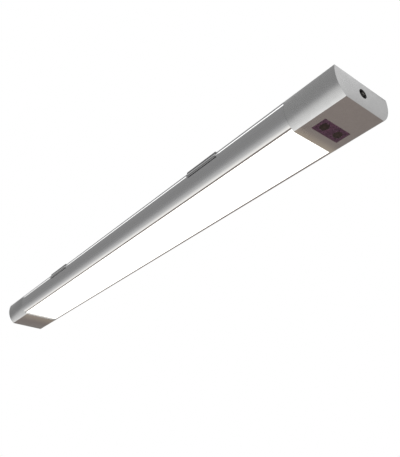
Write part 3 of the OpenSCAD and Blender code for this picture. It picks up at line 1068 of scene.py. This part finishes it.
@dataclass
class EndHousing:
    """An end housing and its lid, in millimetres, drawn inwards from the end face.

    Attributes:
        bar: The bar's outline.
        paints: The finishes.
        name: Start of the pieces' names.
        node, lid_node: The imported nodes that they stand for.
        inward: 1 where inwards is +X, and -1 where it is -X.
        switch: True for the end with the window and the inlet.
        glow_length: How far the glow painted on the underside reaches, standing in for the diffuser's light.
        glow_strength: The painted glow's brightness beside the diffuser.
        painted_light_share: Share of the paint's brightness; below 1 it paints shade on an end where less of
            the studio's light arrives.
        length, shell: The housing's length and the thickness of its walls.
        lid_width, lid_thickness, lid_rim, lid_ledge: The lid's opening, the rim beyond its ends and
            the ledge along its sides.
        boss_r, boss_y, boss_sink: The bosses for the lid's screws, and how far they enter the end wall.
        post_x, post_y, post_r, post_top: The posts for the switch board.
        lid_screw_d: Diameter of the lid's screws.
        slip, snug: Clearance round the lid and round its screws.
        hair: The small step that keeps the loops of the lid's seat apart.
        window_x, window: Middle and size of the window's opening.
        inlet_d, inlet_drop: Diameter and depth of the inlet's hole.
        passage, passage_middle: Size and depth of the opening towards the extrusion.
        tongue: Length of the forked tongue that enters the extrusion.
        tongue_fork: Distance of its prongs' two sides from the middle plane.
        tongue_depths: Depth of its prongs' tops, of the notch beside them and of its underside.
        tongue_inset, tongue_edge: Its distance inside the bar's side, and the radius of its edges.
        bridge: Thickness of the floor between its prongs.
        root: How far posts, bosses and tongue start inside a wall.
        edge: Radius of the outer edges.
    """

    bar: BarSection
    paints: Paintbox
    name: str
    node: str
    lid_node: str
    inward: int
    switch: bool
    glow_length: float
    glow_strength: float
    painted_light_share: float
    length: float = 36.5
    shell: float = 1.8
    lid_width: float = 38.0
    lid_thickness: float = 1.6
    lid_rim: float = 1.2
    lid_ledge: float = 0.8
    boss_r: float = 2.5
    boss_y: float = 14.2
    boss_sink: float = 0.4
    post_x: float = 11.5
    post_y: float = 12.5
    post_r: float = 2.2
    post_top: float = 3.65
    lid_screw_d: float = 2.0
    slip: float = 0.15
    snug: float = 0.05
    hair: float = 0.02
    window_x: float = 23.1
    window: tuple[float, float] = (10.0, 20.8)
    inlet_d: float = 6.0
    inlet_drop: float = 7.7
    passage: tuple[float, float] = (20.0, 7.0)
    passage_middle: float = 8.0
    tongue: float = 12.0
    tongue_fork: tuple[float, float] = (13.4, 19.44)
    tongue_depths: tuple[float, float, float] = (1.45, 3.75, 14.05)
    tongue_inset: float = 1.35
    tongue_edge: float = 0.1
    bridge: float = 1.5
    root: float = 0.6
    edge: float = 0.15

    def __post_init__(self) -> None:
        """Reads the housing's place from the frame."""
        low, high = (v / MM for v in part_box(self.node))
        end = low.x if self.inward > 0 else high.x
        self.place = Matrix.Translation((end, 0, high.z)) @ Matrix.Diagonal((self.inward, 1, 1, 1))
        self.floor = self.bar.height - self.shell
        self.boss_x = self.shell + self.boss_r - self.boss_sink

    def draw_outer(self, form: Form) -> None:
        """Draws the outer skin with its soft edges."""
        line = Outline(form, 0.0, 0.0, 0.0).to(self.bar.half(0, 0), 0)
        line.side(self.bar, 0, self.bar.height, steps=48).to(0, self.bar.height, corner=False)
        form.extrude(line.close(0), self.length)
        form.soften(form.sharp_edges(), self.edge)

    def draw_cavity(self, form: Form) -> None:
        """Draws the hollow inside."""
        half = self.lid_width / 2 - self.lid_ledge
        line = Outline(form, self.shell, 0.0, self.lid_thickness).to(half, self.lid_thickness)
        line.to(half, self.bar.depth_at(self.shell, half)).side(self.bar, self.shell, self.floor, steps=24)
        line.to(0, self.floor, corner=False)
        form.extrude(line.close(0), self.length - 2 * self.shell)

    def openings(self, form: Form) -> list[list[Ring]]:
        """Marks the openings between the outer skin and the hollow."""
        middle, seat = self.length / 2, (self.length - 2 * self.lid_rim, self.lid_width)
        inner = (self.length - 2 * self.shell - self.hair, self.lid_width - 2 * self.lid_ledge - self.hair)
        steps = ((0.0, seat), (self.lid_thickness - self.hair, seat), (self.lid_thickness, inner))
        lid = [form.ring((middle, 0, -depth), Facing.UP, size, RECTANGLE) for depth, size in steps]
        passage = [
            form.ring((x, 0, -self.passage_middle), Facing.IN, self.passage, RECTANGLE)
            for x in (self.length, self.length - self.shell)
        ]
        found = [lid, passage]
        if self.switch:
            found.append([
                form.ring((self.window_x, 0, -d), Facing.DOWN, self.window, RECTANGLE)
                for d in (self.bar.height, self.floor)
            ])
            found.append([
                form.ring((x, 0, -self.inlet_drop), Facing.OUT, (self.inlet_d, self.inlet_d), 64)
                for x in (0.0, self.shell)
            ])
        return found

    def add_posts(self, form: Form) -> None:
        """Adds the bosses for the lid's screws, and the switch board's posts."""
        sunk = -self.floor - self.root
        for x in (self.boss_x, self.length - self.boss_x):
            for y in (-self.boss_y, self.boss_y):
                form.post(x, y, self.boss_r, sunk, -self.lid_thickness)
        if self.switch:
            for y in (-self.post_y, self.post_y):
                form.post(self.post_x, y, self.post_r, sunk, -self.post_top)

    def add_tongue(self, form: Form) -> None:
        """Adds the forked tongue that enters the extrusion."""
        top, notch, bottom = self.tongue_depths
        inner, outer = self.tongue_fork
        line = Outline(form, self.length - self.root, 0.0, bottom - self.bridge)
        line.to(inner, bottom - self.bridge).to(inner, top).to(outer, top).to(outer, notch)
        line.to(self.bar.half(self.tongue_inset, notch), notch).side(self.bar, self.tongue_inset, bottom)
        line.to(0, bottom, corner=False)
        form.extrude(line.close(self.tongue_edge), self.tongue + self.root)

    def build_shell(self) -> None:
        """Builds the housing."""
        form = Form()
        self.draw_outer(form)
        self.draw_cavity(form)
        form.cut(self.openings(form))
        self.add_posts(form)
        self.add_tongue(form)
        paint = self.paints.get(self.shell_finish())
        form.finish(self.name, paint, self.place, Body.BAR, "silver_plastic", [self.node])

    def shell_finish(self) -> MetalFinish:
        """Gives the housing's paint, with a painted glow on its underside for the diffuser's light, and
        painted shade where lightness is below 1.
        """
        inner = (self.place @ Vector((self.length, 0, -self.bar.height))) * MM
        faded = inner.x - self.inward * self.glow_length * MM
        # painted light: a warm glow on the underside beside the diffuser
        spill = Spill("X", inner.x, faded, self.glow_strength, hidden=-0.9, shown=-0.99)
        # painted shade: the paint is darkened by this share
        colour = tuple(self.painted_light_share * c for c in SILVER_PAINT.colour)
        return replace(SILVER_PAINT, name=f"{SILVER_PAINT.name}_{self.name}", colour=colour, spill=spill)

    def build_lid(self) -> None:
        """Builds the lid with its countersunk holes."""
        form = Form()
        gap = self.lid_rim + self.slip
        width = self.lid_width / 2 - self.slip
        form.block((gap, -width, -self.lid_thickness), (self.length - gap, width, 0))
        form.soften(form.sharp_edges(), self.edge)
        form.cut([
            form.screw_hole(x, y, self.lid_screw_d, self.snug, self.lid_thickness)
            for x in (self.boss_x, self.length - self.boss_x)
            for y in (-self.boss_y, self.boss_y)
        ])
        paint = self.paints.get(SILVER_PAINT)
        form.finish(f"{self.name}_Lid", paint, self.place, Body.BAR, "silver_plastic", [self.lid_node])

    def build(self) -> None:
        """Builds the housing and its lid."""
        self.build_shell()
        self.build_lid()


@dataclass
class SwitchWindow:
    """The infrared window in the underside, in millimetres.

    Attributes:
        paints: The finishes.
        flange: Width of the flange that holds it from inside.
        snug: Its clearance in the opening.
        flange_thickness: Thickness of that flange.
        edge: Radius of its edges.
    """

    paints: Paintbox
    flange: float = 1.0
    snug: float = 0.05
    flange_thickness: float = 0.8
    edge: float = 0.15

    def build(self) -> None:
        """Builds the window: its flange, and the pane drawn down from it."""
        low, high = (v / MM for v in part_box("sensor_window"))
        step = high.z - self.flange_thickness
        form = Form()
        form.block((low.x, low.y, step), high)
        form.bm.normal_update()
        under = min(form.bm.faces, key=lambda f: f.calc_center_median().z)
        bmesh.ops.inset_individual(form.bm, faces=[under], thickness=self.flange + self.snug, depth=0)
        made = bmesh.ops.extrude_face_region(form.bm, geom=[under])["geom"]
        form.shift(made, (0, 0, low.z - step))
        bmesh.ops.delete(form.bm, geom=[under], context="FACES_ONLY")
        form.turn_out()
        form.soften(form.sharp_edges(), self.edge)
        form.finish(
            "Switch_Window", self.paints.get(self.tint()), Matrix.Identity(4), Body.BAR, "infrared_window",
            ["sensor_window"],
        )

    def tint(self) -> TintedFinish:
        """Gives the window's finish, with its discs in front of the eyes."""
        low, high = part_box("ir_emitter")
        middle = (low + high) / 2
        return replace(WINDOW_TINT, disc_x=middle.x, disc_y=abs(middle.y), disc_r=(high.y - low.y) / 2)


@dataclass
class SpringClip:
    """A spring clip: a plate across the back and a hooked leg down each side, in millimetres.

    Attributes:
        paints: The finishes.
        bar: The bar's outline.
        body: The body that it is, which names its node too.
        thickness: Thickness of the steel.
        gap: Clearance to the bar.
        flange: Height of the flange that it hooks on.
        hook_reach, hook_drop: How far the hook reaches in, and its drop below the flange.
        side_gap: Clearance to the bar's widest line.
        tip_drop, tip_flare: Depth of the tip below the bar's back, and its flare.
        bend: Size of the bends.
        hole_d: Diameter of the screw hole.
        edge: Width of the softened edges.
    """

    paints: Paintbox
    bar: BarSection
    body: Body
    thickness: float = 0.5
    gap: float = 0.1
    flange: float = 0.8
    hook_reach: float = 0.5
    hook_drop: float = 0.7
    side_gap: float = 0.15
    tip_drop: float = 3.9
    tip_flare: float = 0.2
    bend: float = 0.22
    hole_d: float = 4.2
    edge: float = 0.08

    def draw_ribbon(self, form: Form, length: float) -> None:
        """Draws the strip's middle surface, with rounded bends."""
        middle = self.gap + self.thickness / 2
        leg = self.bar.half(0, self.flange) + middle
        hook = leg - self.hook_reach
        hook_depth = self.flange + self.hook_drop
        tip = self.bar.width / 2 + self.side_gap + self.thickness / 2
        line = Outline(form, 0.0, 0.0, -middle)
        line.to(leg, -middle).to(leg, self.flange + 2 * self.gap)
        line.to(hook, hook_depth).to(tip, hook_depth + tip - hook)
        line.to(tip + self.tip_flare, self.tip_drop, corner=False)
        bm = form.bm
        form.soften(line.corners, self.bend, segments=5, rounded=Rounded.CORNERS)
        bmesh.ops.mirror(bm, geom=[*bm.verts, *bm.edges], axis="Y", merge_dist=FLAT_TOLERANCE)
        bmesh.ops.dissolve_verts(bm, verts=[v for v in bm.verts if abs(v.co.y) < FLAT_TOLERANCE])
        made = bmesh.ops.extrude_edge_only(bm, edges=list(bm.edges))["geom"]
        form.shift(made, (length, 0, 0))
        form.turn_out()

    def build(self) -> None:
        """Builds the clip; its thickness and edges come from modifiers."""
        node = self.body.value
        low, high = (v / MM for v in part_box(node))
        length = high.x - low.x
        form = Form()
        self.draw_ribbon(form, length)
        ring = form.ring((length / 2, 0, self.gap + self.thickness / 2), Facing.UP, (self.hole_d,) * 2)
        form.bm.normal_update()
        form.pierce(form.face_with(ring), [ring], Facing.UP.vector)
        hook = self.flange + 2 * self.gap
        # the hook's slant gets the painted highlight
        for face in form.bm.faces:
            middle = face.calc_center_median()
            if hook < -middle.z < self.flange + self.hook_drop and abs(middle.y) > self.bar.side_y:
                face.material_index = CLIP_FINISHES.index(CLIP_HOOK_PAINTED_HIGHLIGHT)
        back = high.z - self.gap - self.thickness
        piece = form.finish(
            node.title(), self.paints.get(SPRING_STEEL), Matrix.Translation((low.x, 0, back)),
            self.body, "spring_steel", [node], crease=math.radians(40),
        )
        piece.data.materials.append(self.paints.get(CLIP_HOOK_PAINTED_HIGHLIGHT))
        self.thicken(piece)

    def thicken(self, piece: bpy.types.Object) -> None:
        """Gives the sheet its thickness and its soft edges."""
        thick = piece.modifiers.new("Thickness", "SOLIDIFY")
        thick.thickness = self.thickness * MM
        thick.offset = 0.0
        thick.use_even_offset = True
        soft = piece.modifiers.new("Edges", "BEVEL")
        soft.width = self.edge * MM
        soft.segments = 2
        soft.limit_method = "ANGLE"
        soft.angle_limit = math.radians(50)


# ---------------------------------------------------------------- studio


@dataclass
class Studio:
    """Camera, light and floor.

    Attributes:
        eye: The camera's place from the top middle of the switch end, in metres.
        turn: The camera's turn about X, Y and Z, in degrees.
        lens: Focal length on a 36 mm sensor.
        floor_z: Height of the floor.
        floor_size: Side of the floor.
        brightest: Radiance of the brightest surroundings.
        sun_energy, sun_angle, sun_turn: Strength of the overhead lamp, its width and its turn
            about X and Y, in degrees.
    """

    eye: tuple[float, float, float] = (0.12061, -0.19948, -0.21161)
    turn: tuple[float, float, float] = (119.071, -0.807, 52.184)
    lens: float = 42.85
    floor_z: float = -1.0
    floor_size: float = 200.0
    brightest: float = 1.25
    sun_energy: float = 1.9
    sun_angle: float = 35.0
    sun_turn: tuple[float, float] = (-12.0, 9.0)

    def add_camera(self) -> None:
        """Adds the camera, below the bar and in front of its switch end."""
        low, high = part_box("sensor_housing")
        data = bpy.data.cameras.new("Camera")
        data.lens = self.lens
        data.clip_start = 0.01
        camera = bpy.data.objects.new("Camera", data)
        camera.location = Vector((high.x, 0, high.z)) + Vector(self.eye)
        camera.rotation_euler = [math.radians(a) for a in self.turn]
        bpy.context.scene.collection.objects.link(camera)
        bpy.context.scene.camera = camera

    def add_floor(self) -> None:
        """Adds the pale floor, far below the bar."""
        bm = bmesh.new()
        bmesh.ops.create_grid(bm, x_segments=1, y_segments=1, size=self.floor_size / 2)
        bmesh.ops.translate(bm, vec=(0, 0, self.floor_z), verts=bm.verts)
        mesh = bpy.data.meshes.new("Floor")
        bm.to_mesh(mesh)
        bm.free()
        floor = bpy.data.objects.new("Floor", mesh)
        bpy.context.scene.collection.objects.link(floor)
        finish = PlasticFinish("Pale_Floor", (0.86, 0.86, 0.85), (0.7, 0.9), 40.0, 1e-5, change=0.01)
        mesh.materials.append(finish.material())
        floor.visible_glossy = False

    def add_world(self) -> None:
        """Adds the soft surroundings: white to look at, and a broad soft light below one side."""
        world = bpy.data.worlds.new("Studio")
        bpy.context.scene.world = world
        world.use_nodes = True
        nodes, links = world.node_tree.nodes, world.node_tree.links
        where = nodes.new("ShaderNodeTexCoord")
        split = nodes.new("ShaderNodeSeparateXYZ")
        links.new(where.outputs["Generated"], split.inputs["Vector"])
        around = nodes.new("ShaderNodeMath")
        around.operation = "ARCTAN2"
        links.new(split.outputs["Z"], around.inputs[0])
        links.new(split.outputs["Y"], around.inputs[1])
        turn = nodes.new("ShaderNodeMapRange")
        turn.inputs["From Min"].default_value = -math.pi
        turn.inputs["From Max"].default_value = math.pi
        links.new(around.outputs["Value"], turn.inputs["Value"])
        ramp = nodes.new("ShaderNodeValToRGB")
        links.new(turn.outputs["Result"], ramp.inputs["Fac"])
        fill_ramp(ramp.color_ramp, (
            (angle / 360, [c / self.brightest for c in colour]) for angle, colour in self.surroundings()
        ))
        light = nodes["Background"]
        links.new(ramp.outputs["Color"], light.inputs["Color"])
        light.inputs["Strength"].default_value = self.brightest
        white = nodes.new("ShaderNodeBackground")
        white.inputs["Color"].default_value = (1, 1, 1, 1)
        path = nodes.new("ShaderNodeLightPath")
        mix = nodes.new("ShaderNodeMixShader")
        links.new(path.outputs["Is Camera Ray"], mix.inputs["Fac"])
        links.new(light.outputs["Background"], mix.inputs[1])
        links.new(white.outputs["Background"], mix.inputs[2])
        links.new(mix.outputs["Shader"], nodes["World Output"].inputs["Surface"])

    def surroundings(self) -> list[tuple[float, tuple[float, float, float]]]:
        """Gives the surroundings' colour by angle round the bar.

        Returns:
            Angles in degrees, from the horizontal on the -Y side, down and round, and colours.
        """
        return [
            (0.0, (0.31, 0.31, 0.31)),
            (6.0, (0.31, 0.31, 0.315)),
            (20.0, (0.64, 0.64, 0.635)),
            (30.0, (0.80, 0.80, 0.795)),
            (45.0, (0.90, 0.90, 0.89)),
            (60.0, (1.15, 1.15, 1.14)),
            (80.0, (1.15, 1.15, 1.14)),
            (100.0, (0.40, 0.36, 0.34)),
            (120.0, (0.30, 0.255, 0.235)),
            (150.0, (0.27, 0.235, 0.215)),
            (180.0, (0.42, 0.41, 0.40)),
            (222.0, (0.58, 0.58, 0.58)),
            (236.0, (0.78, 0.78, 0.78)),
            (262.0, (0.55, 0.55, 0.55)),
            (290.0, (0.34, 0.34, 0.34)),
            (330.0, (0.31, 0.31, 0.31)),
        ]

    def add_key(self) -> None:
        """Adds a broad soft lamp overhead, for the floor and the shadows on it."""
        data = bpy.data.lights.new("Overhead", "SUN")
        data.energy = self.sun_energy
        data.angle = math.radians(self.sun_angle)
        lamp = bpy.data.objects.new("Overhead", data)
        lamp.rotation_euler = (*(math.radians(a) for a in self.sun_turn), 0)
        lamp.visible_glossy = False
        bpy.context.scene.collection.objects.link(lamp)

    def build(self) -> None:
        """Builds the studio."""
        bpy.context.scene.view_settings.view_transform = "Standard"
        self.add_camera()
        self.add_floor()
        self.add_world()
        self.add_key()
        LOG.info("studio ready")


def main() -> None:
    """Builds the light bar and its studio."""
    logging.basicConfig(level=logging.INFO, format="%(name)s: %(message)s")
    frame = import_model()
    paints = Paintbox()
    bar = BarSection()
    Studio().build()
    paints.dress_nodes(frame["nodes"])
    LightBody(bar, paints).build()
    EndHousing(
        bar, paints, "Switch_End", "sensor_housing", "sensor_lid", inward=-1, switch=True,
        glow_length=7.0, glow_strength=0.11, painted_light_share=1.0,
    ).build()
    EndHousing(
        bar, paints, "Far_End", "far_housing", "far_lid", inward=1, switch=False,
        # painted shade: the far end's paint is darker
        glow_length=20.0, glow_strength=0.08, painted_light_share=0.86,
    ).build()
    SwitchWindow(paints).build()
    for body in (Body.NEAR_CLIP, Body.FAR_CLIP):
        SpringClip(paints, bar, body).build()


if __name__ == "__main__":
    main()
